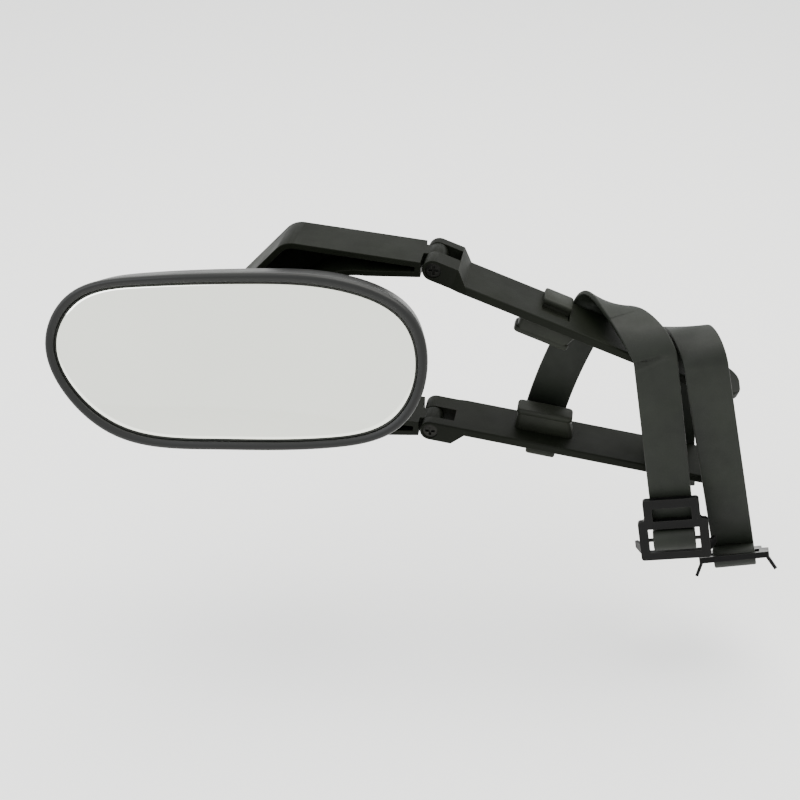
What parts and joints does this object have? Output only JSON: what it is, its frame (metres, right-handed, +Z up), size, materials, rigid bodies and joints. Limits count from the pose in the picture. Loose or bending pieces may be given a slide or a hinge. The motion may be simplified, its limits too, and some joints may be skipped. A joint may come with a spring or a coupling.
{
  "type": "clamp-on towing mirror",
  "caption": "Oval towing mirror on a ball stud, carried by a C bracket with a two-armed jaw and hooked straps that clamp it over a car's own door mirror.",
  "frame": {"origin": "midway between the two jaw hinge axes, at the middle of the arms' width", "axes": "+X along the jaw towards the car, +Y forwards away from the driver, +Z up"},
  "size_m": [0.3939, 0.0973, 0.1837],
  "materials": {
    "black_plastic": "fine-grained black nylon",
    "claw_rubber": "matt black rubber-like polymer",
    "gloss_rim": "satin black plastic rim",
    "mirror_glass": "silvered glass",
    "foam": "adhesive foam",
    "liner_plastic": "natural acetal",
    "zinc_steel": "zinc plated",
    "strap_rubber": "matt black rubber",
    "black_steel": "black e-coat on steel"
  },
  "bodies": {
    "bracket": {"bracket": "black_plastic", "ball_stud": "zinc_steel", "ball_stud_nut": "zinc_steel"},
    "socket_liner": {"socket_liner": "liner_plastic"},
    "mirror_head": {"mirror_housing": "black_plastic", "mirror_bezel": "gloss_rim", "mirror_glass": "mirror_glass", "adhesive_pad": "foam", "glass_carrier": "black_plastic", "socket_cup": "black_plastic", "socket_ring": "black_plastic", "socket_screws": "zinc_steel"},
    "upper_jaw": {"upper_arm": "black_plastic", "upper_hinge_screw": "zinc_steel", "upper_hinge_barrel": "zinc_steel", "upper_claw": "claw_rubber", "strap_1": "strap_rubber", "strap_1_stud": "zinc_steel", "strap_2": "strap_rubber", "strap_2_stud": "zinc_steel"},
    "lower_jaw": {"lower_arm": "black_plastic", "lower_hinge_screw": "zinc_steel", "lower_hinge_barrel": "zinc_steel", "lower_claw": "claw_rubber"},
    "hook_1": {"hook_1": "black_steel", "hook_1_pin": "zinc_steel"},
    "hook_2": {"hook_2": "black_steel", "hook_2_pin": "zinc_steel"}
  },
  "joints": [
    {"name": "upper_jaw_hinge", "type": "hinge", "parent": "bracket", "child": "upper_jaw", "pos_m": [0, 0, 0.049], "axis": [0, 1, 0], "range_deg": [-45, 6]},
    {"name": "lower_jaw_hinge", "type": "hinge", "parent": "bracket", "child": "lower_jaw", "pos_m": [0, 0, -0.049], "axis": [0, 1, 0], "range_deg": [-6, 45]},
    {"name": "mirror_pan", "type": "hinge", "parent": "bracket", "child": "socket_liner", "pos_m": [-0.097, -0.033, 0.004], "axis": [0, 0, 1], "range_deg": [-12, 12]},
    {"name": "mirror_tilt", "type": "hinge", "parent": "socket_liner", "child": "mirror_head", "pos_m": [-0.097, -0.033, 0.004], "axis": [1, 0, 0], "range_deg": [-8, 8]},
    {"name": "hook_1_swing", "type": "hinge", "parent": "upper_jaw", "child": "hook_1", "pos_m": [0.1379, -0.03757, -0.09048], "axis": [0.9806, 0, 0.1961], "range_deg": [0, 105]},
    {"name": "hook_2_swing", "type": "hinge", "parent": "upper_jaw", "child": "hook_2", "pos_m": [0.1725, -0.0256, -0.107], "axis": [0.9706, 0, 0.2406], "range_deg": [-52, 6]}
  ]
}
